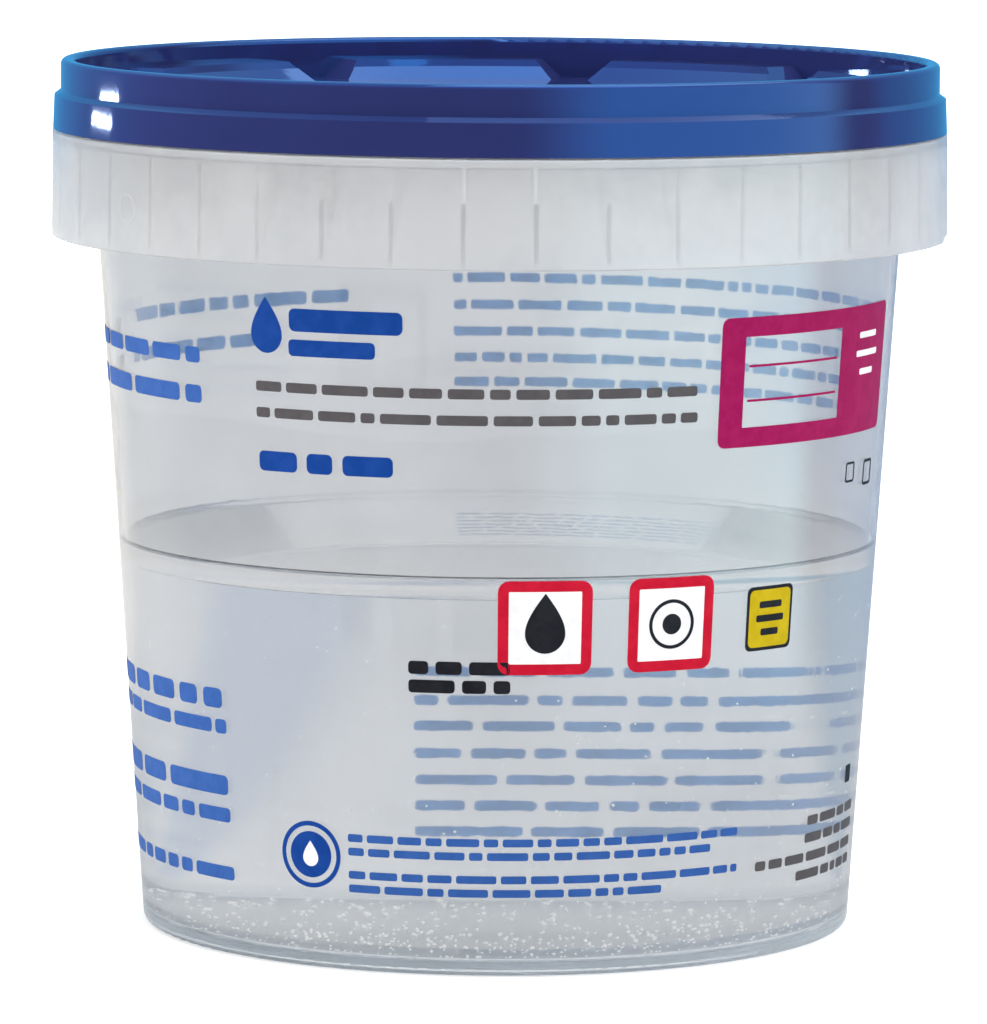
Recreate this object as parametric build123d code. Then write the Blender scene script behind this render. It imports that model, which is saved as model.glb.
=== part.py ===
from build123d import *
import math
import os

# A one-litre specimen tub, half filled with formalin under a thin layer of barrier fluid.
# The clear tub is one moulding with a ribbed skirt round its neck, a tear tab closes a gap in that skirt,
# and a blue snap lid with a sunk deck sits on the neck.
# Lengths are millimetres and angles are degrees. +Z is up, the origin lies on the table under the tub's axis,
# and the printed front looks along -Y. A bearing counts from +X towards +Y.

os.makedirs("parts", exist_ok=True)

# Tub: wall, floor and foot
base_radius = 52.8
wall_draft = 3.78
wall_thickness = 1.1
floor_thickness = 1.3
foot_height = 0.8
foot_width = 3.2
base_corner_radius = 1.2
floor_corner_radius = 2.0

# Tub: shelf, neck and skirt
shelf_height = 118.3
shelf_thickness = 1.5
skirt_reach = 5.8
skirt_depth = 15.65
skirt_thickness = 1.3
skirt_flare = 0.15
skirt_edge_radius = 0.3
neck_step = 1.65
neck_thickness = 1.1
neck_height = 2.9
neck_bead_reach = 1.05
neck_bead_depth = 1.3

# Tub: the gusset ribs behind the skirt
rib_count = 40
rib_thickness = 0.7
rib_wall_length = 4.6
rib_foot_gap = 0.7
rib_bury = 0.3

# Tear tab: a length of the skirt with its hinge end at the back and its grip end at the side
tab_grip_bearing = -5.8
tab_hinge_bearing = 30.0
tab_gap = 0.4
thumb_notch_width = 14.0
thumb_notch_height = 1.6

# Lid: channel over the neck
lid_seat_gap = 0.2
lid_side_clearance = 0.25
lid_top_clearance = 0.2
channel_wall_thickness = 1.2
channel_wall_draft_reach = 0.2
lid_bead_reach = 0.3
lid_bead_depth = 1.0
plug_thickness = 1.1
deck_thickness = 1.2

# Lid: stacking ring that stands over the channel
band_step = 0.95
band_chamfer_height = 0.7
band_height = 4.9
ring_height = 6.1
ring_thickness = 2.1
ring_edge_radius = 0.75

# Lid: raised lugs round the sunk deck, which centre the foot of a tub stacked on top
lug_count = 9
lug_first_bearing = 78.6
lug_height = 2.9
lug_width = 8.5
lug_top_width = 5.5
lug_step_height = 1.0
lug_wall = 1.1
slot_top_width = 12.0
slot_floor_width = 5.8

# Liquids
formalin_depth = 52.8
barrier_depth = 2.5
liquid_gap = 0.1

# Levels and radii that follow from the sizes above
floor_level = foot_height + floor_thickness
shelf_underside = shelf_height - shelf_thickness
skirt_bottom = shelf_height - skirt_depth
neck_top = shelf_height + neck_height
draft_slope = math.tan(math.radians(wall_draft))


def wall_radius(height):
    """Outer radius of the tapered wall at a height."""
    return base_radius + height * draft_slope


def inner_radius(height):
    """Inner radius of the tapered wall at a height."""
    return wall_radius(height) - wall_thickness


skirt_top_radius = wall_radius(shelf_height) + skirt_reach
skirt_bottom_radius = skirt_top_radius + skirt_flare
skirt_inner_radius = skirt_top_radius - skirt_thickness
neck_outer_radius = wall_radius(shelf_height) + neck_step + neck_thickness
neck_inner_radius = neck_outer_radius - neck_thickness
neck_bead_radius = neck_outer_radius + neck_bead_reach

channel_top = neck_top + lid_top_clearance
deck_level = channel_top + deck_thickness
lid_bottom = shelf_height + lid_seat_gap
lid_bead_radius = neck_bead_radius + lid_side_clearance
channel_inner_radius = lid_bead_radius + lid_bead_reach
channel_outer_radius = channel_inner_radius + channel_wall_thickness
plug_outer_radius = neck_inner_radius - lid_side_clearance
plug_inner_radius = plug_outer_radius - plug_thickness
ring_top = deck_level + ring_height
band_top = lid_bottom + band_height
ring_outer_radius = channel_outer_radius - band_step
ring_inner_radius = ring_outer_radius - ring_thickness
lug_top = deck_level + lug_height
lug_inner_radius = ring_inner_radius - lug_width
cut_margin = 2.0


def outline(points, rounds):
    """A flat outline of (radius, height) points, with the corners nearest to the named ones rounded."""
    face = make_face(Polyline(*points, close=True))
    for corner, radius in rounds:
        nearest = face.vertices().sort_by_distance(Vector(*corner))[0]
        face = fillet(nearest, radius)
    return face


def spun(points, rounds=()):
    """A solid turned about the vertical axis."""
    return revolve(Plane.XZ * outline(points, rounds), axis=Axis.Z)


def slab(points, thickness):
    """A plate of even thickness on the vertical plane through the axis, drawn as (radius, height)."""
    return extrude(Plane.XZ * make_face(Polyline(*points, close=True)), thickness / 2, both=True)


def round_the_axis(shape, bearings):
    """Copies of a shape turned about the vertical axis."""
    return [Rot(0, 0, bearing) * shape for bearing in bearings]


def sector(inner, outer, low, high, start, end):
    """A block between two radii, two heights and two bearings."""
    face = Plane.XZ * make_face(Polyline((inner, low), (outer, low), (outer, high), (inner, high), close=True))
    return revolve(Rot(0, 0, start) * face, axis=Axis.Z, revolution_arc=end - start)


def save(shape, node):
    """Writes one sub-part."""
    shape.label = node
    export_step(shape, "parts/" + node + ".step")
    print(node, round(shape.volume / 1000, 2), "cm3")


def tub_shell():
    """Wall, floor, foot ring, shelf, neck and the whole skirt as one turned moulding."""
    foot_inner = base_radius - foot_width
    bead_bottom = neck_top - neck_bead_depth
    points = [
        (0, foot_height),
        (foot_inner, foot_height),
        (foot_inner, 0),
        (base_radius, 0),
        (wall_radius(shelf_underside), shelf_underside),
        (skirt_inner_radius, shelf_underside),
        (skirt_inner_radius + skirt_flare, skirt_bottom),
        (skirt_bottom_radius, skirt_bottom),
        (skirt_top_radius, shelf_height),
        (neck_outer_radius, shelf_height),
        (neck_outer_radius, bead_bottom - neck_bead_reach / 2),
        (neck_bead_radius, bead_bottom),
        (neck_bead_radius, neck_top),
        (neck_inner_radius, neck_top),
        (neck_inner_radius, shelf_height),
        (inner_radius(shelf_height), shelf_height),
        (inner_radius(floor_level), floor_level),
        (0, floor_level),
    ]
    rounds = [
        ((base_radius, 0), base_corner_radius),
        ((inner_radius(floor_level), floor_level), floor_corner_radius),
        ((skirt_bottom_radius, skirt_bottom), skirt_edge_radius),
        ((skirt_top_radius, shelf_height), skirt_edge_radius),
        ((neck_bead_radius, neck_top), neck_bead_reach / 2),
        ((neck_inner_radius, neck_top), neck_thickness / 4),
    ]
    return spun(points, rounds)


def skirt_ribs():
    """Gussets from the wall to the skirt, deep under the shelf and thin at the skirt's lower edge."""
    rib = slab(
        [
            (wall_radius(shelf_underside) - rib_bury, shelf_underside + rib_bury),
            (skirt_inner_radius + rib_bury, shelf_underside + rib_bury),
            (skirt_inner_radius + rib_bury, skirt_bottom + rib_foot_gap),
            (wall_radius(shelf_underside - rib_wall_length) - rib_bury, shelf_underside - rib_wall_length),
        ],
        rib_thickness,
    )
    pitch = 360 / rib_count
    return round_the_axis(rib, [pitch * (index + 0.5) for index in range(rib_count)])


def thumb_notch():
    """A shallow V in the skirt's lower edge at the tab's grip end."""
    half = thumb_notch_width / 2
    face = make_face(Polyline((-half, 0), (half, 0), (0, thumb_notch_height), close=True))
    wedge = extrude(Plane.YZ * face, skirt_bottom_radius + cut_margin)
    place = Pos(0, 0, skirt_bottom)
    below = Pos(skirt_bottom_radius / 2, 0, -cut_margin / 2) * Box(
        skirt_bottom_radius + 2 * cut_margin, thumb_notch_width, cut_margin
    )
    keep = sector(
        wall_radius(shelf_height),
        skirt_bottom_radius + cut_margin,
        skirt_bottom - cut_margin,
        skirt_bottom + thumb_notch_height,
        -30,
        30,
    )
    return Rot(0, 0, tab_grip_bearing) * ((place * (wedge + below)) & keep)


def gap_bearing(gap):
    """The bearing that a gap takes up at the skirt."""
    return math.degrees(gap / skirt_top_radius)


def tab_bay():
    """The bay in the skirt and the shelf's edge that the tear tab fills, with its gap all round."""
    return sector(
        skirt_inner_radius - tab_gap,
        skirt_bottom_radius + cut_margin,
        skirt_bottom - cut_margin,
        shelf_height + lid_seat_gap / 2,
        tab_grip_bearing - gap_bearing(tab_gap),
        tab_hinge_bearing + gap_bearing(tab_gap),
    )


def make_tub():
    tub = tub_shell() + skirt_ribs()
    return tub - tab_bay() - thumb_notch()


def make_tab():
    """The length of skirt that tears away, from its lower edge to the shelf's top."""
    face = outline(
        [
            (skirt_inner_radius, shelf_height),
            (skirt_inner_radius + skirt_flare, skirt_bottom),
            (skirt_bottom_radius, skirt_bottom),
            (skirt_top_radius, shelf_height),
        ],
        [
            ((skirt_bottom_radius, skirt_bottom), skirt_edge_radius),
            ((skirt_top_radius, shelf_height), skirt_edge_radius),
        ],
    )
    arc = tab_hinge_bearing - tab_grip_bearing
    tab = revolve(Rot(0, 0, tab_grip_bearing) * (Plane.XZ * face), axis=Axis.Z, revolution_arc=arc)
    return tab - thumb_notch()


def lid_shell():
    """Deck, channel walls and stacking ring as one turned moulding."""
    bead_top = lid_bottom + lid_bead_depth
    points = [
        (0, deck_level - deck_thickness),
        (plug_inner_radius, deck_level - deck_thickness),
        (plug_inner_radius, lid_bottom),
        (plug_outer_radius, lid_bottom),
        (plug_outer_radius, channel_top),
        (channel_inner_radius, channel_top),
        (channel_inner_radius, bead_top),
        (lid_bead_radius, bead_top - lid_bead_reach),
        (lid_bead_radius, lid_bottom),
        (channel_outer_radius + channel_wall_draft_reach, lid_bottom),
        (channel_outer_radius, band_top),
        (ring_outer_radius, band_top + band_chamfer_height),
        (ring_outer_radius, ring_top),
        (ring_inner_radius, ring_top),
        (ring_inner_radius, deck_level),
        (0, deck_level),
    ]
    rounds = [
        ((ring_outer_radius, ring_top), ring_edge_radius),
        ((ring_inner_radius, ring_top), ring_edge_radius),
        ((plug_outer_radius, lid_bottom), plug_thickness / 3),
    ]
    return spun(points, rounds)


def slots(half_wall):
    """The radial slots between lugs: wide at the top, narrow at the deck, and wider by a wall for the pockets."""
    top = lug_top + cut_margin
    run = (slot_top_width - slot_floor_width) / 2 / lug_height
    half_floor = slot_floor_width / 2 + half_wall
    low = deck_level - cut_margin
    face = make_face(
        Polyline(
            (-half_floor, low),
            (half_floor, low),
            (half_floor, deck_level),
            (half_floor + run * (top - deck_level), top),
            (-half_floor - run * (top - deck_level), top),
            (-half_floor, deck_level),
            close=True,
        )
    )
    slot = extrude(Plane.YZ * face, ring_outer_radius + cut_margin)
    pitch = 360 / lug_count
    return round_the_axis(slot, [lug_first_bearing + pitch * index for index in range(lug_count)])


def lug_ring():
    """A stepped ring beside the stacking ring, cut by slots into lugs."""
    rim = ring_inner_radius + ring_thickness / 4
    step = lug_top - lug_step_height
    ring = spun(
        [
            (rim, deck_level - deck_thickness / 2),
            (rim, lug_top),
            (ring_inner_radius - lug_top_width, lug_top),
            (ring_inner_radius - lug_top_width - lug_step_height / 2, step),
            (ring_inner_radius - lug_top_width - lug_step_height, step),
            (lug_inner_radius, deck_level),
            (lug_inner_radius, deck_level - deck_thickness / 2),
        ]
    )
    return ring - slots(0)


def lug_pockets():
    """Hollows under the lugs that keep the lid's wall even."""
    rim = plug_inner_radius
    step = lug_top - lug_step_height
    low = deck_level - deck_thickness - cut_margin
    ring = spun(
        [
            (rim, low),
            (rim, lug_top - lug_wall),
            (ring_inner_radius - lug_top_width + lug_wall / 2, lug_top - lug_wall),
            (ring_inner_radius - lug_top_width + lug_wall / 2, step - lug_wall),
            (lug_inner_radius + lug_wall, deck_level - deck_thickness),
            (lug_inner_radius + lug_wall, low),
        ]
    )
    return ring - slots(lug_wall)


def make_lid():
    return lid_shell() + lug_ring() - lug_pockets()


def liquid(low, high, rounds=()):
    """A body of liquid that stands a hair clear of the tub's wall."""
    return spun(
        [
            (0, low),
            (inner_radius(low) - liquid_gap, low),
            (inner_radius(high) - liquid_gap, high),
            (0, high),
        ],
        rounds,
    )


def make_formalin():
    low = floor_level + liquid_gap
    corner = (inner_radius(low) - liquid_gap, low)
    return liquid(low, floor_level + formalin_depth, [(corner, floor_corner_radius)])


def make_barrier():
    low = floor_level + formalin_depth
    return liquid(low, low + barrier_depth)


save(make_tub(), "container_tub")
save(make_tab(), "tamper_tab")
save(make_lid(), "lid")
save(make_formalin(), "formalin")
save(make_barrier(), "barrier_fluid")
hinge_bearing = math.radians(tab_hinge_bearing)
print("tab hinge at", round(skirt_bottom_radius * math.cos(hinge_bearing), 3),
      round(skirt_bottom_radius * math.sin(hinge_bearing), 3))
print("lid from", round(lid_bottom, 2), "to", round(ring_top, 2))
print("liquid level", round(floor_level + formalin_depth + barrier_depth, 2))
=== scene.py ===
# %% [markdown]
# This lesson dresses a clear plastic specimen tub with a blue snap lid.
# The shapes of the tub, its tear tab, the lid and the two liquids come from
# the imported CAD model, so the first step loads that model as a fixed frame.
# Everything is in metres, with +Z up along the tub's axis and -Y to the front.

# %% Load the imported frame
import math
import random

import bmesh
import bpy
import numpy as np
from mathutils import Matrix, Vector


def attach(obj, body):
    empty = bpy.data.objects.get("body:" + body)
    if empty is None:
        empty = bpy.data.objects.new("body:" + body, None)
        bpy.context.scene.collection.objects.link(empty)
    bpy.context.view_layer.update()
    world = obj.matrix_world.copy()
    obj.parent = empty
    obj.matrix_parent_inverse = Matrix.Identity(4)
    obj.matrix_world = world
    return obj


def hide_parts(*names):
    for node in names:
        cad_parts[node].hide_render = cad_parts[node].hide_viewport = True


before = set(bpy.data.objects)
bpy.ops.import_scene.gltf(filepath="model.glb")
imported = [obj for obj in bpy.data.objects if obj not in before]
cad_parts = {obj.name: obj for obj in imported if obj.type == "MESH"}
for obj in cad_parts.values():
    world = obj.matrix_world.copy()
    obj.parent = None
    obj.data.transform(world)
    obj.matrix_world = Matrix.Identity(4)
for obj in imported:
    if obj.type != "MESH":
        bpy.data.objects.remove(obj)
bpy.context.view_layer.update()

MM = 0.001
print("CAD nodes:", sorted(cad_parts))

# %% [markdown]
# The camera comes first, so that every later choice can be judged in it.
# The photograph was taken from a good metre away with a long lens, a little
# above the lid's rim and with a very slight roll. A long lens keeps the tub's
# sides almost straight, so the same distance and lens are used here.

# %% Camera
CAMERA_PLACE = Vector((-0.62, -1101.0, 189.4)) * MM
CAMERA_PITCH_DOWN = 0.1161
CAMERA_ROLL = 0.0063
LENS_IN_PIXELS = 7411.0
IMAGE_LONG_SIDE = 1024
SENSOR = 36.0

bpy.ops.object.camera_add(location=CAMERA_PLACE)
camera = bpy.context.object
camera.name = "photo_camera"
camera.data.sensor_fit = "AUTO"
camera.data.sensor_width = SENSOR
camera.data.lens = LENS_IN_PIXELS * SENSOR / IMAGE_LONG_SIDE
camera.data.clip_end = 100.0
tilt = Matrix.Rotation(math.pi / 2 - CAMERA_PITCH_DOWN, 4, "X")
roll_turn = Matrix.Rotation(CAMERA_ROLL, 4, "Z")
camera.matrix_world = Matrix.Translation(CAMERA_PLACE) @ tilt @ roll_turn
bpy.context.scene.camera = camera
print("lens, mm:", round(camera.data.lens, 1))

# %% [markdown]
# Clear plastic and liquid need many bounces, because a ray that crosses the
# tub meets four walls with two faces each, and some rays run round inside a
# wall. Caustics stay on, because light reaches the white bubbles and the milky
# plastic only through clear plastic. The view transform is Standard, so that
# colours come out about as they are written.

# %% Scene settings
CLEAR_BOUNCES = 64

scene = bpy.context.scene
scene.view_settings.view_transform = "Standard"
scene.cycles.max_bounces = CLEAR_BOUNCES
scene.cycles.transmission_bounces = CLEAR_BOUNCES
scene.cycles.glossy_bounces = CLEAR_BOUNCES
scene.cycles.transparent_max_bounces = 24
scene.cycles.diffuse_bounces = 12
scene.cycles.caustics_reflective = True
scene.cycles.caustics_refractive = True
print("bounces:", scene.cycles.max_bounces)

# %% [markdown]
# A material is a small graph of nodes. A few helpers keep the graphs readable:
# one adds any node with its inputs filled in, and the others add the handful
# of nodes that come back again and again.

# %% Node helpers
WHITE = (1.0, 1.0, 1.0, 1.0)


def start_material(name):
    """An empty node material with its output node."""
    material = bpy.data.materials.new(name)
    material.use_nodes = True
    tree = material.node_tree
    tree.nodes.clear()
    return material, tree, tree.nodes.new("ShaderNodeOutputMaterial")


def node(tree, kind, settings=None, **inputs):
    """A node with plain settings and input values, or links where an input is a socket.

    An input goes by its name, with _ for a space, or by i and its number."""
    made = tree.nodes.new(kind)
    for key, value in (settings or {}).items():
        setattr(made, key, value)
    for key, value in inputs.items():
        numbered = key[0] == "i" and key[1:].isdigit()
        socket = made.inputs[int(key[1:]) if numbered else key.replace("_", " ")]
        if isinstance(value, bpy.types.NodeSocket):
            tree.links.new(value, socket)
        else:
            socket.default_value = value
    return made


def ramp(tree, value, low, high, to_low=0.0, to_high=1.0, smooth=True):
    """value mapped from low..high to to_low..to_high, and held there. low may be the larger."""
    made = node(tree, "ShaderNodeMapRange", {"interpolation_type": "SMOOTHSTEP" if smooth else "LINEAR"},
                From_Min=low, From_Max=high, To_Min=to_low, To_Max=to_high, Value=value)
    return made.outputs["Result"]


def between(tree, share, at_0, at_1):
    """at_0 where share is 0, at_1 where it is 1. It needs no node where both are the same."""
    return at_0 if at_0 == at_1 else ramp(tree, share, 0.0, 1.0, at_0, at_1, smooth=False)


def maths(tree, operation, a, b=0.0):
    """One sum on two numbers or sockets."""
    return node(tree, "ShaderNodeMath", {"operation": operation}, i0=a, i1=b).outputs[0]


def mix_colours(tree, share, first, second):
    """The first colour where share is 0, the second where it is 1."""
    return node(tree, "ShaderNodeMix", {"data_type": "RGBA"}, i0=share, i6=first, i7=second).outputs[2]


def mix_shaders(tree, share, first, second):
    """The first shader where share is 0, the second where it is 1."""
    return node(tree, "ShaderNodeMixShader", i0=share, i1=first, i2=second).outputs[0]


def object_place(tree):
    """The Object coordinates, which stay with a piece when it moves."""
    return node(tree, "ShaderNodeTexCoord").outputs["Object"]


def split(tree, vector):
    """The X, Y and Z of a vector."""
    parts = node(tree, "ShaderNodeSeparateXYZ", Vector=vector)
    return parts.outputs["X"], parts.outputs["Y"], parts.outputs["Z"]


def reach_from_axis(tree, x, y):
    """How far a point lies from the tub's axis."""
    flat = node(tree, "ShaderNodeCombineXYZ", X=x, Y=y)
    return node(tree, "ShaderNodeVectorMath", {"operation": "LENGTH"}, Vector=flat.outputs[0]).outputs["Value"]


def noise(tree, place, scale, detail, roughness):
    """A cloudy pattern of values round 0.5."""
    clouds = node(tree, "ShaderNodeTexNoise", Vector=place, Scale=scale, Detail=detail, Roughness=roughness)
    return clouds.outputs["Fac"]


print("node helpers are ready")

# %% [markdown]
# The studio is a bright backdrop behind the tub and a dim room in front. The
# world is that room, and it answers each kind of ray in its own way. The
# camera sees plain white, directly and through the clear plastic. Shiny
# surfaces mirror a dark room with a soft light at the right, a blue backdrop
# and a pale ceiling, which gives the lid its blue bands. Everything else is
# lit by the backdrop, the ceiling and a lighter left side. All the places in
# this cell are directions, so they go from -1 to 1.

# %% World
ROOM_LIGHT = (0.55, 0.555, 0.57, 1.0)
LEFT_LIGHT = (1.45, 1.45, 1.45, 1.0)
BACKDROP_LIGHT = (1.70, 1.70, 1.74, 1.0)
ROOM_MIRRORED = (0.13, 0.135, 0.15, 1.0)
SOFTBOX_MIRRORED = (1.6, 2.7, 2.9, 1.0)
BACKDROP_MIRRORED = (0.07, 0.44, 0.85, 1.0)
CEILING_MIRRORED = (0.4, 1.3, 1.8, 1.0)

BACKDROP_EDGE = (0.50, 0.70)
BACKDROP_LEAN = 0.22
CEILING_EDGE = (0.30, 0.90)
CEILING_SHARE = 0.4
LEFT_LIGHT_EDGE = (-0.25, -0.85)
SOFTBOX_EDGE_SIDEWAYS = (0.05, 0.55)
SOFTBOX_EDGE_BEHIND = (-0.05, 0.25)
LEFT_GLOW_EDGE_SIDEWAYS = (-0.30, -0.60)
LEFT_GLOW_EDGE_BEHIND = (0.05, 0.50)
LEFT_GLOW_SHARE = 0.75


def behind_share(tree, x, y):
    """1 towards the backdrop, which reaches a little further round on the right."""
    leaning = maths(tree, "ADD", y, maths(tree, "MULTIPLY", x, BACKDROP_LEAN))
    return ramp(tree, leaning, *BACKDROP_EDGE)


def mirrored_room(tree, x, y, backdrop):
    """What shiny surfaces mirror at eye level: the dark room, the soft light and the backdrop."""
    softbox = maths(tree, "MULTIPLY", ramp(tree, x, *SOFTBOX_EDGE_SIDEWAYS),
                    ramp(tree, y, *SOFTBOX_EDGE_BEHIND, 1.0, 0.0))
    left_glow = maths(tree, "MULTIPLY", ramp(tree, x, *LEFT_GLOW_EDGE_SIDEWAYS),
                      ramp(tree, y, *LEFT_GLOW_EDGE_BEHIND, 0.0, LEFT_GLOW_SHARE))
    colour = mix_colours(tree, softbox, ROOM_MIRRORED, SOFTBOX_MIRRORED)
    colour = mix_colours(tree, left_glow, colour, backdrop)
    return mix_colours(tree, behind_share(tree, x, y), colour, backdrop)


world = bpy.data.worlds.new("studio_room")
scene.world = world
world.use_nodes = True
world.cycles.sampling_method = "NONE"
tree = world.node_tree
tree.nodes.clear()
x, y, z = split(tree, node(tree, "ShaderNodeTexCoord").outputs["Generated"])
above = ramp(tree, z, *CEILING_EDGE)
mirrored = mix_colours(tree, above, mirrored_room(tree, x, y, BACKDROP_MIRRORED), CEILING_MIRRORED)
bright = maths(tree, "MAXIMUM", behind_share(tree, x, y), maths(tree, "MULTIPLY", above, CEILING_SHARE))
lighting = mix_colours(tree, ramp(tree, x, *LEFT_LIGHT_EDGE), ROOM_LIGHT, LEFT_LIGHT)
lighting = mix_colours(tree, bright, lighting, BACKDROP_LIGHT)
ray = node(tree, "ShaderNodeLightPath")
room = mix_colours(tree, ray.outputs["Is Glossy Ray"], lighting, mirrored)
room_light = node(tree, "ShaderNodeBackground", Color=room, Strength=1.0)
white_light = node(tree, "ShaderNodeBackground", Color=WHITE, Strength=1.0)
seen = maths(tree, "MAXIMUM", ray.outputs["Is Camera Ray"], ray.outputs["Is Transmission Ray"])
both = mix_shaders(tree, seen, room_light.outputs[0], white_light.outputs[0])
output = tree.nodes.new("ShaderNodeOutputWorld")
tree.links.new(both, output.inputs["Surface"])
print("world: dim in front, bright behind and above")

# %% [markdown]
# The floor is a wide plane just under the tub. The camera sees pale paint
# that keeps the tub's soft shadow and glows a little, more so further off,
# until it is as white as the background. Mirrored in the lid it continues the
# room. Through the clear plastic it is almost white, with painted shade in it:
# a cooler, darker strip at the right and a bluer, darker part far to the left,
# which darken the tub where they are seen through it. The places in this cell
# are metres from the tub's axis.

# %% Floor
FLOOR_SIZE = 12.0
FLOOR_GAP = 0.0001
FLOOR_PAINT = (0.80, 0.80, 0.81, 1.0)
GLOW_REACH = (0.25, 1.8)
GLOW_STRENGTH = (0.28, 1.0)

FLOOR_MIRRORED = (0.60, 0.63, 0.67, 1.0)
FLOOR_MIRRORED_REACH = (0.12, 0.35)
FLOOR_BEHIND = (1.10, 1.07, 1.02, 1.0)
FLOOR_BEHIND_RIGHT = (0.40, 0.52, 0.70, 1.0)
FLOOR_BEHIND_CHANGE = (0.15, -0.15)
FLOOR_BEHIND_REACH = (1.50, 1.85)

FLOOR_THROUGH = (0.93, 0.955, 0.985, 1.0)
FLOOR_THROUGH_RIGHT_SHADE = (0.72, 0.79, 0.91, 1.0)
FLOOR_THROUGH_LEFT_SHADE = (0.50, 0.64, 0.76, 1.0)
FLOOR_THROUGH_STRENGTH = 0.97
RIGHT_SHADE_STRIP_START = (0.055, 0.125)
RIGHT_SHADE_STRIP_END = (0.25, 0.40)
LEFT_SHADE_EDGE = (-0.25, -0.60)

bpy.ops.object.select_all(action="DESELECT")
bpy.ops.mesh.primitive_plane_add(size=FLOOR_SIZE, location=(0, 0, -FLOOR_GAP))
floor = bpy.context.object
floor.name = "studio_floor"
material, tree, output = start_material("pale_floor")
x, y, _ = split(tree, object_place(tree))
reach = reach_from_axis(tree, x, y)
ray = node(tree, "ShaderNodeLightPath")

paint = node(tree, "ShaderNodeBsdfDiffuse", Color=FLOOR_PAINT)
glow = node(tree, "ShaderNodeEmission", Color=WHITE, Strength=ramp(tree, reach, *GLOW_REACH, *GLOW_STRENGTH))
lit_paint = node(tree, "ShaderNodeAddShader", i0=paint.outputs[0], i1=glow.outputs[0])
seen = mix_shaders(tree, ray.outputs["Is Camera Ray"], paint.outputs[0], lit_paint.outputs[0])

behind = mix_colours(tree, ramp(tree, x, *FLOOR_BEHIND_CHANGE), FLOOR_BEHIND_RIGHT, FLOOR_BEHIND)
behind = mix_colours(tree, ramp(tree, reach, *FLOOR_BEHIND_REACH), behind, BACKDROP_MIRRORED)
around = mirrored_room(tree, maths(tree, "DIVIDE", x, reach), maths(tree, "DIVIDE", y, reach), behind)
mirrored = mix_colours(tree, ramp(tree, reach, *FLOOR_MIRRORED_REACH), FLOOR_MIRRORED, around)
shine = node(tree, "ShaderNodeEmission", Color=mirrored, Strength=1.0)
seen = mix_shaders(tree, ray.outputs["Is Glossy Ray"], seen, shine.outputs[0])

# painted shade: a darker, cooler strip at the right and a darker, bluer part at the left, seen only through the
# clear plastic
shade_strip = maths(tree, "MULTIPLY", ramp(tree, x, *RIGHT_SHADE_STRIP_START), ramp(tree, x, *RIGHT_SHADE_STRIP_END, 1.0, 0.0))
through_colour_with_shade = mix_colours(tree, shade_strip, FLOOR_THROUGH, FLOOR_THROUGH_RIGHT_SHADE)
through_colour_with_shade = mix_colours(tree, ramp(tree, x, *LEFT_SHADE_EDGE), through_colour_with_shade, FLOOR_THROUGH_LEFT_SHADE)
through = node(tree, "ShaderNodeEmission", Color=through_colour_with_shade, Strength=FLOOR_THROUGH_STRENGTH)
whole = mix_shaders(tree, ray.outputs["Is Transmission Ray"], seen, through.outputs[0])
tree.links.new(whole, output.inputs["Surface"])
floor.data.materials.append(material)
print("floor:", FLOOR_SIZE, "m wide")

# %% [markdown]
# Three soft lamps light the tub from the front right, the left and above. Two
# tiny ones shine on the lid alone and give it the bright spots at its left end
# and on the far inside of its rim. Lamps that the photograph doesn't show in
# the plastic are hidden from mirrored rays and from rays through the plastic.

# %% Lamps
PLAIN_LIGHT = (1.0, 1.0, 1.0)
WARM_LIGHT = (1.0, 0.985, 0.955)


def soft_lamp(name, place, target, size, power, colour, unseen_by):
    """A rectangular soft lamp that faces target. size is its width and height."""
    bpy.ops.object.light_add(type="AREA", location=place)
    lamp = bpy.context.object
    lamp.name = name
    lamp.data.shape = "RECTANGLE"
    lamp.data.size, lamp.data.size_y = size
    lamp.data.energy = power
    lamp.data.color = colour
    lamp.rotation_mode = "QUATERNION"
    lamp.rotation_quaternion = (Vector(target) - Vector(place)).to_track_quat("-Z", "Y")
    for kind in unseen_by:
        setattr(lamp, "visible_" + kind, False)
    return lamp


soft_lamp("front_right_softbox", (0.66, -0.66, 0.27), (0.0, 0.0, 0.1), (1.15, 0.5), 1.7,
          PLAIN_LIGHT, ("glossy", "transmission"))
soft_lamp("left_fill", (-0.75, 0.10, 0.22), (0.0, 0.0, 0.09), (0.8, 0.5), 3.2,
          WARM_LIGHT, ("glossy", "transmission"))
soft_lamp("overhead_softbox", (0.20, -0.05, 0.95), (0.0, 0.0, 0.065), (0.9, 0.7), 6.5,
          PLAIN_LIGHT, ())
outer_spark = soft_lamp("back_left_softbox", (-0.135, 0.018, 0.1188), (-0.0585, -0.030, 0.1225),
                        (0.019, 0.0014), 0.0046, PLAIN_LIGHT, ("diffuse", "transmission"))
inner_spark = soft_lamp("inner_rim_light", (-0.118, 0.125, 0.134), (0.062, 0.213, 0.1325),
                        (0.045, 0.012), 0.068, PLAIN_LIGHT, ("diffuse", "transmission"))
lit_by_spark = bpy.data.collections.new("lit_by_spark")
lit_by_spark.objects.link(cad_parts["lid"])
for spark in (outer_spark, inner_spark):
    spark.light_linking.receiver_collection = lit_by_spark

# %% [markdown]
# The tub is polypropylene: clear enough to read print on its far side, with
# a faint grey haze, and much milkier where the skirt's ribs and edges lie
# behind one another. One material does both. It mixes clear plastic with a
# milky one by the distance from the axis, because the skirt stands outside
# the wall. Low on the left the wall takes a paler tint as painted light, so
# that side looks more brightly lit. A faint mist hangs on the wall above the
# liquid, and the foot is hazier. Rays from lamps pass as through a thin film,
# so that what is inside the tub is lit.

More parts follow.
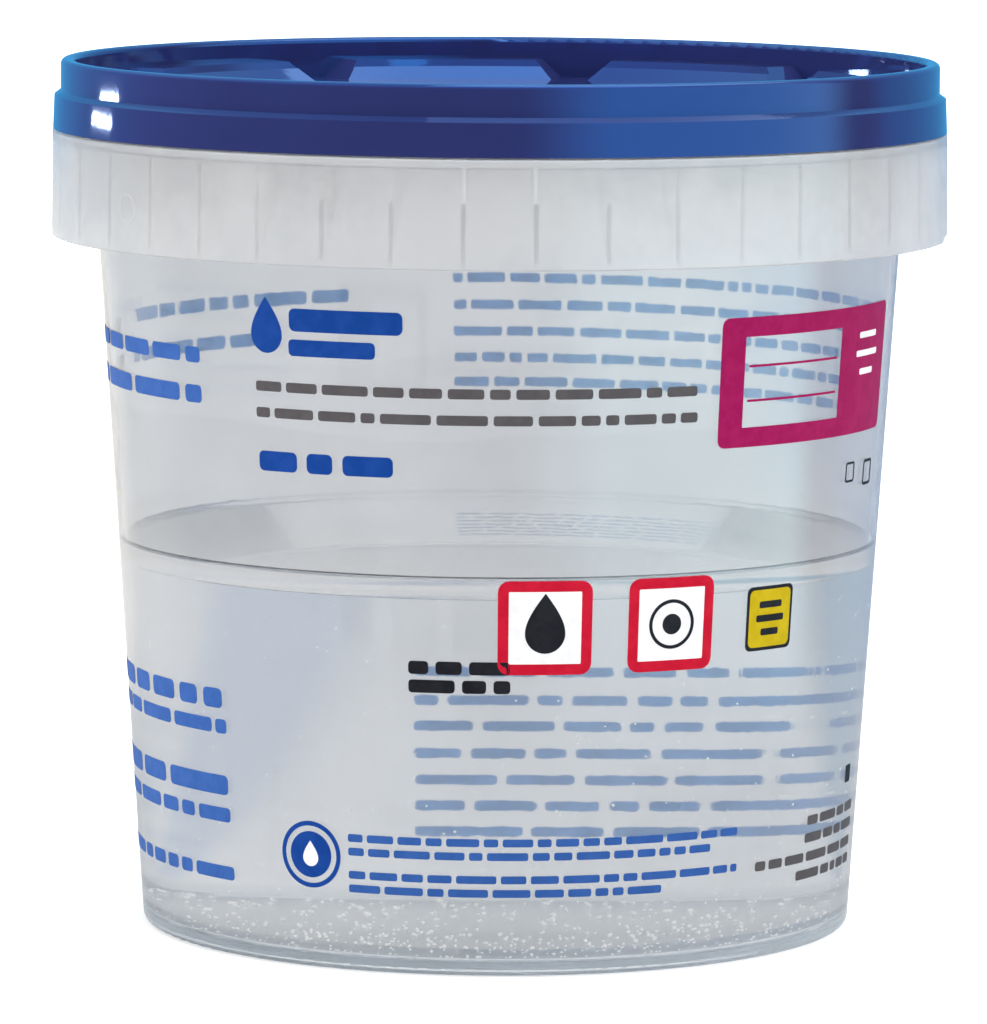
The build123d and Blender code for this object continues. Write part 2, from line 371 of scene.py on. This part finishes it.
# %% Clear and milky plastic
PLASTIC_IOR = 1.49
CLEAR_TINT = (0.915, 0.921, 0.928, 1.0)
PURE_TINT_AND_PAINTED_LIGHT = (0.970, 0.973, 0.977, 1.0)
FILM_TINT = (0.97, 0.973, 0.976, 1.0)
VEIL_TINT = (0.60, 0.61, 0.63, 1.0)
BASE_TINT = (0.78, 0.87, 0.94, 1.0)
MILK_TINT = (0.93, 0.932, 0.933, 1.0)

WALL_REACH = 0.0600
SKIRT_REACH = 0.0616
WALL_HAZE = 0.085
SKIRT_HAZE = 0.42
WALL_ROUGHNESS = 0.03
SKIRT_ROUGHNESS = 0.20
WALL_GLOW = 0.72
SKIRT_GLOW = 0.45
BASE_EDGE = (0.0010, 0.0045)
BASE_HAZE = 0.20
HAZE_SHADOW = 0.35

LIQUID_TOP = 0.0574
MIST_START = 0.0010
MIST = 0.035
TIDE_LEVEL = 0.0822
TIDE_EDGE = 0.0012
TIDE_WANDER = 0.0080
LIT_LEFT_EDGE_SIDEWAYS = (0.005, -0.035)
LIT_LEFT_EDGE_UP = (0.092, 0.070)
LIT_LEFT_SHARE = 0.85


def mist_share(tree, place, height):
    """Mist on the wall from the liquid up to a wandering line."""
    wander = maths(tree, "MULTIPLY", noise(tree, place, 26.0, 2.0, 0.5), TIDE_WANDER)
    tide = maths(tree, "ADD", height, wander)
    return maths(tree, "MULTIPLY", ramp(tree, tide, TIDE_LEVEL, TIDE_LEVEL + TIDE_EDGE, MIST, 0.0),
                 ramp(tree, height, LIQUID_TOP - MIST_START, LIQUID_TOP))


def plastic(name, wall_haze, wall_roughness):
    """Plastic with this haze and roughness on the wall, which turns milky and rougher on the skirt."""
    material, tree, output = start_material(name)
    place = object_place(tree)
    x, y, height = split(tree, place)
    on_skirt = ramp(tree, reach_from_axis(tree, x, y), WALL_REACH, SKIRT_REACH)
    above_base = ramp(tree, height, *BASE_EDGE)
    flow = noise(tree, place, 38.0, 4.0, 0.55)
    grain = noise(tree, place, 900.0, 2.0, 0.5)

    haze = maths(tree, "ADD", between(tree, on_skirt, wall_haze, SKIRT_HAZE), mist_share(tree, place, height))
    haze = maths(tree, "MULTIPLY", haze, ramp(tree, flow, 0.35, 0.65, 0.85, 1.15))
    haze = maths(tree, "ADD", haze, between(tree, above_base, BASE_HAZE, 0.0))

    # painted light: low on the left the wall takes the pure tint, so that side looks more brightly lit
    painted_light_left = maths(tree, "MULTIPLY", ramp(tree, x, *LIT_LEFT_EDGE_SIDEWAYS),
                  ramp(tree, height, *LIT_LEFT_EDGE_UP, 0.0, LIT_LEFT_SHARE))
    dyed_and_painted_light = maths(tree, "MULTIPLY", above_base, maths(tree, "SUBTRACT", 1.0, on_skirt))
    dyed_and_painted_light = maths(tree, "MULTIPLY", dyed_and_painted_light, maths(tree, "SUBTRACT", 1.0, painted_light_left))
    tint = mix_colours(tree, dyed_and_painted_light, PURE_TINT_AND_PAINTED_LIGHT, CLEAR_TINT)

    ripple = node(tree, "ShaderNodeBump", Strength=0.10, Distance=0.0006, Height=flow)
    fine = node(tree, "ShaderNodeBump", Strength=0.04, Distance=0.00003, Height=grain,
                Normal=ripple.outputs["Normal"])
    clear = node(tree, "ShaderNodeBsdfPrincipled", Base_Color=tint, IOR=PLASTIC_IOR, Transmission_Weight=1.0,
                 Roughness=between(tree, on_skirt, wall_roughness, SKIRT_ROUGHNESS),
                 Normal=fine.outputs["Normal"])

    veil = mix_colours(tree, above_base, BASE_TINT, VEIL_TINT)
    veil = mix_colours(tree, on_skirt, veil, MILK_TINT)
    white = node(tree, "ShaderNodeBsdfPrincipled", Base_Color=veil, Roughness=0.32, IOR=PLASTIC_IOR,
                 Normal=fine.outputs["Normal"])
    glow = node(tree, "ShaderNodeBsdfTranslucent", Color=veil)
    milky = mix_shaders(tree, between(tree, on_skirt, WALL_GLOW, SKIRT_GLOW), white.outputs[0], glow.outputs[0])
    body = mix_shaders(tree, haze, clear.outputs[0], milky)

    ray = node(tree, "ShaderNodeLightPath")
    film = node(tree, "ShaderNodeBsdfTransparent", Color=FILM_TINT)
    lets_through = maths(tree, "SUBTRACT", 1.0, maths(tree, "MULTIPLY", haze, HAZE_SHADOW))
    lets_through = maths(tree, "MULTIPLY", ray.outputs["Is Shadow Ray"], lets_through)
    tree.links.new(mix_shaders(tree, lets_through, body, film.outputs[0]), output.inputs["Surface"])
    return material


clear_tub = plastic("clear_tub_plastic", WALL_HAZE, WALL_ROUGHNESS)
milky_tab = plastic("milky_tab_plastic", SKIRT_HAZE, SKIRT_ROUGHNESS)
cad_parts["container_tub"].material_slots[0].material = clear_tub
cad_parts["tamper_tab"].material_slots[0].material = milky_tab
print("tub and tear tab:", clear_tub.name, milky_tab.name)

# %% [markdown]
# The lid is dyed plastic. Its own colour is close to navy, and the bright blue
# of its bands is what it mirrors, tinted blue. A very fine grain keeps that
# shine from looking like glass.

# %% Blue lid
LID_DARK = (0.022, 0.027, 0.108, 1.0)
LID_LIGHT = (0.025, 0.032, 0.128, 1.0)
LID_SHEEN = (0.03, 0.32, 1.0, 1.0)

material, tree, output = start_material("blue_lid_plastic")
place = object_place(tree)
cloud = noise(tree, place, 30.0, 5.0, 0.6)
grain = noise(tree, place, 1200.0, 2.0, 0.5)
tint = mix_colours(tree, ramp(tree, cloud, 0.3, 0.7), LID_DARK, LID_LIGHT)
fine = node(tree, "ShaderNodeBump", Strength=0.12, Distance=0.00004, Height=grain)
lid_skin = node(tree, "ShaderNodeBsdfPrincipled", Base_Color=tint, IOR=1.5,
                Roughness=ramp(tree, cloud, 0.3, 0.7, 0.04, 0.07), Normal=fine.outputs["Normal"],
                Specular_Tint=LID_SHEEN, Specular_IOR_Level=0.85)
tree.links.new(lid_skin.outputs[0], output.inputs["Surface"])
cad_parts["lid"].material_slots[0].material = material
print("lid:", material.name)

# %% [markdown]
# Two liquids fill the lower half: watery formalin, and a thin layer of a
# lighter barrier liquid on it. For the render each is one closed shape that
# reaches a little into the plastic wall, so that no film of air shows
# between them, and the top liquid climbs the wall in a fine meniscus. From
# here on, sizes are written in millimetres and turned into metres with MM.

# %% Liquid shapes
WALL_SLOPE = 0.06607
BASE_RADIUS = 52.8
WALL_THICKNESS = 1.1
LIQUID_REACH = 0.3
TURNS = 192
TUB_FLOOR = 2.1
SPLIT_LEVEL = 54.9
SURFACE_LEVEL = 57.4
CORNER_RADIUS = 2.0
LAYER_OVERLAP = 0.05
MENISCUS_RISE = 0.8
MENISCUS_RUN = 2.4


def wall_radius(height):
    """The outside radius of the tub's wall at a height."""
    return BASE_RADIUS + WALL_SLOPE * height


def inner_radius(height):
    """The inside radius of the wall at a height."""
    return wall_radius(height) - WALL_THICKNESS


def liquid_radius(height):
    """How far out a liquid reaches, a little inside the plastic."""
    return inner_radius(height) + LIQUID_REACH


def deselect_all():
    """Nothing selected, in object mode."""
    if bpy.context.mode != "OBJECT":
        bpy.ops.object.mode_set(mode="OBJECT")
    bpy.ops.object.select_all(action="DESELECT")


def select_where(piece, kind, test):
    """Selects the vertices, edges or faces of the piece that pass the test, in edit mode."""
    bpy.ops.object.mode_set(mode="EDIT")
    bpy.ops.mesh.select_mode(type=kind)
    bpy.ops.mesh.select_all(action="DESELECT")
    shape = bmesh.from_edit_mesh(piece.data)
    for part in {"VERT": shape.verts, "EDGE": shape.edges, "FACE": shape.faces}[kind]:
        if test(part):
            part.select_set(True)
    shape.select_flush(True)
    bmesh.update_edit_mesh(piece.data)


def apply_place(piece):
    """Moves a piece's place, turn and size into its mesh."""
    deselect_all()
    piece.select_set(True)
    bpy.context.view_layer.objects.active = piece
    bpy.ops.object.transform_apply(location=True, rotation=True, scale=True)


def lower_inset(width, drop):
    """Insets the selected face and lowers the new one."""
    bpy.ops.mesh.inset(thickness=width * MM)
    bpy.ops.transform.translate(value=(0, 0, -drop * MM))


def liquid(name, low, high):
    """A tapered column of liquid between two heights, left in edit mode."""
    deselect_all()
    middle = (high + low) / 2 * MM
    bpy.ops.mesh.primitive_cylinder_add(vertices=TURNS, radius=liquid_radius(high) * MM,
                                        depth=(high - low) * MM, location=(0, 0, middle))
    piece = bpy.context.object
    piece.name = name
    apply_place(piece)
    select_where(piece, "VERT", lambda v: v.co.z < middle)
    shrink = liquid_radius(low) / liquid_radius(high)
    bpy.ops.transform.resize(value=(shrink, shrink, 1.0))
    return piece


def finish_liquid(piece):
    """Back to object mode, with smooth round sides."""
    bpy.ops.object.mode_set(mode="OBJECT")
    bpy.ops.object.shade_smooth_by_angle(angle=math.radians(50))
    print(piece.name, "faces:", len(piece.data.polygons))


formalin = liquid("formalin_liquid", TUB_FLOOR - LIQUID_REACH, SPLIT_LEVEL)
select_where(formalin, "EDGE", lambda e: all(v.co.z < TUB_FLOOR * MM for v in e.verts))
bpy.ops.mesh.bevel(offset=CORNER_RADIUS * MM, segments=6, affect="EDGES")
finish_liquid(formalin)

rim_level = SURFACE_LEVEL + MENISCUS_RISE
barrier = liquid("barrier_liquid", SPLIT_LEVEL - LAYER_OVERLAP, rim_level)
select_where(barrier, "FACE", lambda f: f.calc_center_median().z > SURFACE_LEVEL * MM and len(f.verts) > 4)
lower_inset(MENISCUS_RUN * 0.35, MENISCUS_RISE * 0.75)
lower_inset(MENISCUS_RUN * 0.65, MENISCUS_RISE * 0.25)
finish_liquid(barrier)

# %% [markdown]
# Both liquids are as clear as water and bend light a little differently. As
# with the plastic, rays from lamps pass as through a thin film.

# %% Liquid finishes
LIQUID_FILM_TINT = (0.985, 0.99, 0.992, 1.0)


def liquid_finish(name, tint, ior):
    """A clear liquid that lets lamps through."""
    material, tree, output = start_material(name)
    water = node(tree, "ShaderNodeBsdfPrincipled", Base_Color=tint, Roughness=0.0, IOR=ior,
                 Transmission_Weight=1.0)
    film = node(tree, "ShaderNodeBsdfTransparent", Color=LIQUID_FILM_TINT)
    ray = node(tree, "ShaderNodeLightPath")
    whole = mix_shaders(tree, ray.outputs["Is Shadow Ray"], water.outputs[0], film.outputs[0])
    tree.links.new(whole, output.inputs["Surface"])
    return material


for piece, finish, body_node in (
    (formalin, liquid_finish("clear_formalin", (0.970, 0.978, 0.985, 1.0), 1.333), "formalin"),
    (barrier, liquid_finish("clear_barrier_liquid", (0.985, 0.988, 0.99, 1.0), 1.40), "barrier_fluid"),
):
    piece.data.materials.clear()
    piece.data.materials.append(finish)
    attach(piece, "container")
    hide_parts(body_node)
    print(piece.name, "stands for", body_node)

# %% [markdown]
# Small bubbles cling to the floor and the wall under the liquid, because the
# plastic doesn't wet well. They are far too small to show how they bend light,
# so their finish is mostly a painted highlight: matt white with a painted glint
# that glows of its own, and a little glass that bends light outwards, as air in
# water does.

# %% Bubble finish
AIR_IN_WATER_IOR = 0.75
PAINTED_GLINT_STRENGTH = 1.1
PAINTED_GLINT_SHARE = 0.55
PAINTED_HIGHLIGHT_SHARE = 0.85

bubble_painted_glint, tree, output = start_material("bubble_painted_glint")
inside = node(tree, "ShaderNodeBsdfGlass", Color=WHITE, Roughness=0.0, IOR=AIR_IN_WATER_IOR)
matt = node(tree, "ShaderNodeBsdfDiffuse", Color=WHITE)
# painted glint: the bubbles glow of their own, and their matt white stands in for the lamps' highlights
painted_glint = node(tree, "ShaderNodeEmission", Color=WHITE, Strength=PAINTED_GLINT_STRENGTH)
white = mix_shaders(tree, PAINTED_GLINT_SHARE, matt.outputs[0], painted_glint.outputs[0])
both = mix_shaders(tree, PAINTED_HIGHLIGHT_SHARE, inside.outputs[0], white)
ray = node(tree, "ShaderNodeLightPath")
film = node(tree, "ShaderNodeBsdfTransparent", Color=WHITE)
whole = mix_shaders(tree, ray.outputs["Is Shadow Ray"], both, film.outputs[0])
tree.links.new(whole, output.inputs["Surface"])
print("bubbles:", bubble_painted_glint.name)

# %% [markdown]
# One bubble is a small sphere of few faces. It is modelled once and copied to
# seeded random places, and all copies of a group become one mesh.

# %% One bubble, copied
deselect_all()
bpy.ops.mesh.primitive_uv_sphere_add(segments=8, ring_count=5, radius=1.0)
model = bpy.context.object
bubble_points = np.array([v.co[:] for v in model.data.vertices])
bubble_faces = [tuple(f.vertices) for f in model.data.polygons]
bpy.data.objects.remove(model)


def spot(out, bearing, height, radius):
    """A bubble's place and size. bearing is in degrees from the front, to the right."""
    angle = math.radians(bearing)
    return out * math.sin(angle), -out * math.cos(angle), height, radius


def bubbles(name, spots):
    """One mesh of bubbles from rows of x, y, z and radius."""
    points, faces = [], []
    for x, y, z, radius in spots:
        faces += [tuple(i + len(points) for i in face) for face in bubble_faces]
        points += ((bubble_points * radius + (x, y, z)) * MM).tolist()
    mesh = bpy.data.meshes.new(name)
    mesh.from_pydata(points, [], faces)
    mesh.polygons.foreach_set("use_smooth", [True] * len(faces))
    mesh.materials.append(bubble_painted_glint)
    piece = bpy.data.objects.new(name, mesh)
    scene.collection.objects.link(piece)
    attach(piece, "container")
    print(name, "bubbles:", len(spots))


print("faces of one bubble:", len(bubble_faces))

# %% [markdown]
# The floor is strewn all over, with fewer bubbles at the back. Those on the
# wall lie thicker low down and at the right, and some more sit round the
# front corner of the floor.

# %% Bubbles on the floor and on the wall
FLOOR_BUBBLES = 620
STREWN_RADIUS = 48.5
THINNED_SHARE = 0.35
FRONT_BEARINGS = (-60, 75)
WALL_BUBBLES = 360
CORNER_BUBBLES = 90
BUBBLE_GAP = 0.02

rng = random.Random(29)
floor_spots = []
while len(floor_spots) < FLOOR_BUBBLES:
    radius = rng.triangular(0.11, 0.30, 0.15)
    out = STREWN_RADIUS * math.sqrt(rng.uniform(0.02, 1.0))
    bearing = rng.uniform(-180, 180)
    if rng.random() < THINNED_SHARE and not FRONT_BEARINGS[0] < bearing < FRONT_BEARINGS[1]:
        continue
    floor_spots.append(spot(out, bearing, TUB_FLOOR + radius + BUBBLE_GAP, radius))
bubbles("floor_bubbles", floor_spots)

wall_spots = []
while len(wall_spots) < WALL_BUBBLES:
    radius = rng.triangular(0.10, 0.26, 0.13)
    height = 4.0 + 51.0 * rng.random() ** 1.5
    bearing = rng.gauss(35, 65)
    wall_spots.append(spot(inner_radius(height) - radius - 0.03, bearing, height, radius))
for count in range(CORNER_BUBBLES):
    radius = rng.uniform(0.12, 0.22)
    bearing = rng.uniform(-75, 75)
    wall_spots.append(spot(inner_radius(2.6) - radius - 1.9, bearing, TUB_FLOOR + radius + BUBBLE_GAP, radius))
bubbles("wall_bubbles", wall_spots)

# %% [markdown]
# The print lies on the outside of the wall as films of ink a few hundredths
# of a millimetre thick. Each ink has slightly uneven cover, hardly any shine,
# and lets through a little of the light from behind. The rows on the far side,
# seen through the tub, are blue print given a pale blue as painted light, for
# the backlight and haze that lighten them, and let through most of the light.

# %% Ink finishes
INKS = {
    "deep_blue": ((0.002, 0.045, 0.250), 0.0),
    "blue": ((0.030, 0.100, 0.340), 0.05),
    # painted light: the far side's blue print made pale for the backlight and haze it is seen through
    "blue_painted_backlit": ((0.460, 0.645, 0.860), 0.78),
    "grey": ((0.085, 0.078, 0.082), 0.03),
    "black": ((0.010, 0.010, 0.014), 0.0),
    "magenta": ((0.295, 0.001, 0.074), 0.0),
    "red": ((0.490, 0.003, 0.024), 0.0),
    "yellow": ((0.490, 0.365, 0.001), 0.0),
    "white": ((0.860, 0.860, 0.860), 0.1),
}
THIN_COVER_GAIN = 1.12
THIN_COVER_LIFT = 0.004


def ink_finish(name, colour, passes):
    """A printed ink. passes is its share of light from behind."""
    material, tree, output = start_material(name)
    cover = noise(tree, object_place(tree), 420.0, 3.0, 0.6)
    paler = [min(1.0, c * THIN_COVER_GAIN + THIN_COVER_LIFT) for c in colour]
    tint = mix_colours(tree, ramp(tree, cover, 0.35, 0.65), (*colour, 1.0), (*paler, 1.0))
    whole = node(tree, "ShaderNodeBsdfPrincipled", Base_Color=tint, Roughness=0.55, IOR=1.5,
                 Specular_IOR_Level=0.10).outputs[0]
    if passes:
        thin = node(tree, "ShaderNodeBsdfTransparent", Color=tint)
        whole = mix_shaders(tree, passes, whole, thin.outputs[0])
    tree.links.new(whole, output.inputs["Surface"])
    return material


ink_finishes = {name: ink_finish("ink_" + name, *values) for name, values in INKS.items()}
print("inks:", sorted(ink_finishes))

# %% [markdown]
# Words are shown only as plain rounded bars. Each shape of the print starts
# as a flat plane or disc of about unit size, modelled once. It is kept as its
# points and faces, so that it can be stamped many times.

# %% Flat shapes
def shape_of(piece):
    """Keeps a modelled flat piece as (points, faces) and takes the piece away."""
    points = [(v.co.x, v.co.y) for v in piece.data.vertices]
    faces = [tuple(f.vertices) for f in piece.data.polygons]
    bpy.data.objects.remove(piece)
    return points, faces


def flat_plane(width=1.0, tall=1.0, corner=0.28, border=None, window=None):
    """A rounded plane. border leaves a frame, and window scales and shifts the frame's hole."""
    deselect_all()
    bpy.ops.mesh.primitive_plane_add(size=1.0)
    piece = bpy.context.object
    piece.scale = (width, tall, 1.0)
    apply_place(piece)
    bpy.ops.object.mode_set(mode="EDIT")
    bpy.ops.mesh.select_mode(type="VERT")
    bpy.ops.mesh.select_all(action="SELECT")
    bpy.ops.mesh.bevel(offset=corner, segments=4, affect="VERTICES")
    if border:
        bpy.ops.mesh.select_mode(type="FACE")
        bpy.ops.mesh.select_all(action="SELECT")
        bpy.ops.mesh.inset(thickness=border)
        if window:
            wide, high, shift = window
            bpy.ops.transform.resize(value=(wide, high, 1.0))
            bpy.ops.transform.translate(value=(shift, 0, 0))
        bpy.ops.mesh.delete(type="ONLY_FACE")
    bpy.ops.object.mode_set(mode="OBJECT")
    return shape_of(piece)


def flat_disc(radius=1.0, hole=0.0, peak=0.0):
    """A disc, a ring where it has a hole, or a drop where its top is pulled up to a peak."""
    deselect_all()
    bpy.ops.mesh.primitive_circle_add(vertices=40, radius=radius, fill_type="NOTHING" if hole else "NGON")
    piece = bpy.context.object
    if hole:
        bpy.ops.object.mode_set(mode="EDIT")
        bpy.ops.mesh.select_mode(type="EDGE")
        bpy.ops.mesh.select_all(action="SELECT")
        bpy.ops.mesh.extrude_edges_move()
        bpy.ops.transform.resize(value=(hole / radius, hole / radius, 1.0))
    if peak:
        select_where(piece, "VERT", lambda v: v.co.y > radius * 0.999)
        bpy.ops.transform.translate(value=(0, peak, 0), use_proportional_edit=True,
                                    proportional_edit_falloff="SHARP", proportional_size=radius * 1.5)
    bpy.ops.object.mode_set(mode="OBJECT")
    return shape_of(piece)


SHAPES = {
    "bar": flat_plane(),
    "tick_box": flat_plane(corner=0.16, border=0.11),
    "patch": flat_plane(corner=0.10),
    "frame": flat_plane(corner=0.12, border=0.115),
    "panel": flat_plane(42.6, 18.8, 1.2, border=1.6, window=(0.54, 0.84, -6.4)),
    "disc": flat_disc(),
    "ring": flat_disc(hole=0.86),
    "drop": flat_disc(peak=1.0),
}
print("flat shapes:", {name: len(shape[0]) for name, shape in SHAPES.items()})

# %% [markdown]
# The print is laid out on an unrolled sheet, one for each ink, where X is the
# distance around the wall and Y the height. Places are given as a bearing in
# degrees from the front and a height in millimetres.

# %% Stamps
WORD_GAP = 0.55
ink_sheets = {name: [] for name in INKS}


def stamp(ink, shape, bearing, height, tall=1.0, wide=None, lift=0.0):
    """Prints a shape on the sheet. wide stretches only its middle, so round ends stay round."""
    stretch = 0.0 if wide is None else (wide - tall) / 2
    middle = math.radians(bearing) * wall_radius(height)
    points, faces = SHAPES[shape]
    points = [(middle + x * tall + math.copysign(stretch, x), height + y * tall) for x, y in points]
    ink_sheets[ink].append((points, faces, height, lift))


def words(ink, rng, bearing_from, bearing_to, height, tall):
    """A row of word-like bars between two bearings, centred on a height."""
    radius = wall_radius(height)
    at = math.radians(bearing_from) * radius
    end = math.radians(bearing_to) * radius
    while at < end - tall * 0.8:
        wide = min(tall * rng.uniform(1.3, 5.2), end - at)
        if end - at - wide < tall * 1.4:
            wide = end - at
        stamp(ink, "bar", math.degrees((at + wide / 2) / radius), height, tall, wide)
        at += wide + tall * WORD_GAP


print("sheets:", len(ink_sheets))

# %% [markdown]
# The layout follows the places and sizes of the print on the tub, with plain
# motifs in them: a drop with title bars, rows of bars, a write-on panel with
# ruled lines, tick boxes, two red frames, a yellow plate and a round emblem.
# Shapes that lie on others are lifted a little, so that they don't flicker.

# %% Print layout
ON_TOP = 0.02
ON_TOP_OF_THAT = 0.04
UNDER = -0.012
rng = random.Random(11)

stamp("deep_blue", "drop", -34.3, 92.0, 2.7)
stamp("deep_blue", "bar", -21.9, 94.3, 3.3, 17.6)
stamp("deep_blue", "bar", -24.0, 90.3, 2.4, 13.6)
words("grey", rng, -36.4, 29.0, 84.5, 1.45)
words("grey", rng, -36.5, 29.2, 80.7, 1.45)
words("deep_blue", rng, -36.3, -15.0, 73.7, 2.9)

for height, tall, last in ((88.1, 2.3, -47.2), (82.4, 2.6, -47.2), (38.0, 2.9, -46.0), (33.9, 2.1, -45.6),
                           (25.2, 2.9, -45.5), (20.8, 2.1, -45.3), (12.2, 2.0, -45.0)):
    words("blue", rng, -97.0, last, height, tall)
for height, last in ((19.6, 40.2), (17.6, 35.0), (14.2, 40.4), (12.2, 26.4)):
    words("blue", rng, -23.1, last, height, 1.15)
for height, first in ((19.2, 57.5), (16.6, 57.0), (13.8, 44.5), (11.2, 55.0)):
    words("grey", rng, first, 77.5, height, 1.4)
words("black", rng, -13.1, 1.9, 45.0, 1.9)
words("black", rng, -13.1, 2.0, 42.3, 1.9)

stamp("magenta", "panel", 53.6, 85.3, 1.0)
for height in (82.6, 87.6):
    stamp("magenta", "bar", 47.2, height, 0.35, 19.5)
for height, wide in ((90.3, 6.5), (87.6, 8.0), (84.9, 5.0)):
    stamp("white", "bar", 66.6, height, 0.9, wide, ON_TOP)
for bearing, height, tall in ((63.4, 70.2, 3.0), (70.6, 69.6, 3.8)):
    stamp("black", "tick_box", bearing, height, tall)

for bearing in (7.0, 26.4):
    stamp("red", "frame", bearing, 50.9, 13.6)
    stamp("white", "patch", bearing, 50.9, 12.0, lift=UNDER)
stamp("black", "drop", 7.0, 50.1, 2.9, lift=ON_TOP)
stamp("black", "ring", 26.4, 50.9, 3.6, lift=ON_TOP)
stamp("black", "disc", 26.4, 50.9, 1.5, lift=ON_TOP)
stamp("black", "patch", 44.5, 50.6, 9.4)
stamp("yellow", "patch", 44.5, 50.6, 8.4, lift=ON_TOP)
for height, wide in ((52.6, 4.6), (50.6, 5.6), (48.6, 3.6)):
    stamp("black", "bar", 44.5, height, 1.0, wide, ON_TOP_OF_THAT)

stamp("deep_blue", "ring", -29.6, 16.7, 4.9)
stamp("deep_blue", "disc", -29.6, 16.7, 3.4)
stamp("white", "drop", -29.6, 16.2, 1.25, lift=ON_TOP)
stamp("black", "patch", 73.0, 24.3, 2.6)

for height in (91.1, 87.0, 82.9, 78.8, 75.0):
    words("blue_painted_backlit", rng, 100.0, 187.0, height, 1.45)
for height in (35.6, 31.4, 27.6, 23.6, 19.7, 15.9, 12.1):
    words("blue_painted_backlit", rng, 98.0, 187.0, height, 1.45)
words("blue_painted_backlit", rng, 204.0, 254.0, 88.6, 2.0)
words("blue_painted_backlit", rng, 219.0, 256.0, 82.6, 2.0)
print("ink pieces laid out:", {name: len(rows) for name, rows in ink_sheets.items()})

# %% [markdown]
# All shapes of one ink are joined and cut into narrow strips, so that they
# can bend. The sheet is then rolled round the cone of the wall, and a Solidify
# modifier gives the ink its thickness.

# %% Roll the ink on to the wall
INK_THICKNESS = 0.035
STRIP = math.radians(1.5)


def roll(name, rows, radius_at, thickness):
    """One mesh of all shapes, cut into strips, rolled on a round surface and thickened."""
    points, faces = [], []
    for row_points, row_faces, height, lift in rows:
        faces += [tuple(i + len(points) for i in face) for face in row_faces]
        points += [(x / radius_at(height), y, lift) for x, y in row_points]
    mesh = bpy.data.meshes.new(name)
    mesh.from_pydata(points, [], faces)
    piece = bpy.data.objects.new(name, mesh)
    scene.collection.objects.link(piece)
    deselect_all()
    piece.select_set(True)
    bpy.context.view_layer.objects.active = piece
    bpy.ops.object.mode_set(mode="EDIT")
    bpy.ops.mesh.select_mode(type="FACE")
    low = min(p[0] for p in points)
    high = max(p[0] for p in points)
    for count in range(math.ceil(low / STRIP), math.floor(high / STRIP) + 1):
        bpy.ops.mesh.select_all(action="SELECT")
        bpy.ops.mesh.bisect(plane_co=(count * STRIP, 0, 0), plane_no=(1, 0, 0))
    bpy.ops.object.mode_set(mode="OBJECT")
    for v in mesh.vertices:
        angle, height, lift = v.co
        radius = radius_at(height) + lift
        v.co = (radius * math.sin(angle) * MM, -radius * math.cos(angle) * MM, height * MM)
    mesh.update()
    thick = piece.modifiers.new("thickness", "SOLIDIFY")
    thick.thickness = thickness * MM
    thick.offset = 1.0
    bpy.ops.object.modifier_apply(modifier=thick.name)
    return piece


def fix_to_tub(piece, material):
    """Gives a rolled piece its finish and its place in the model."""
    piece.data.materials.append(material)
    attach(piece, "container")
    print(piece.name, "faces:", len(piece.data.polygons))


for ink_name, rows in ink_sheets.items():
    fix_to_tub(roll("print_" + ink_name, rows, wall_radius, INK_THICKNESS), ink_finishes[ink_name])

# %% [markdown]
# The mould leaves a small ring on the skirt, left of the front. It is rolled
# on in the same way, from the tub's own plastic.

# %% Mark left by the mould
MARK_BEARING = -53.5
MARK_HEIGHT = 109.2
MARK_RADIUS = 2.1
MARK_THICKNESS = 0.05
SKIRT_RADIUS = 66.5

mark_points, mark_faces = SHAPES["ring"]
mark_middle = math.radians(MARK_BEARING) * SKIRT_RADIUS
mark_points = [(mark_middle + x * MARK_RADIUS, MARK_HEIGHT + y * MARK_RADIUS) for x, y in mark_points]
mark_row = (mark_points, mark_faces, MARK_HEIGHT, 0.0)
fix_to_tub(roll("mould_mark", [mark_row], lambda height: SKIRT_RADIUS, MARK_THICKNESS), clear_tub)
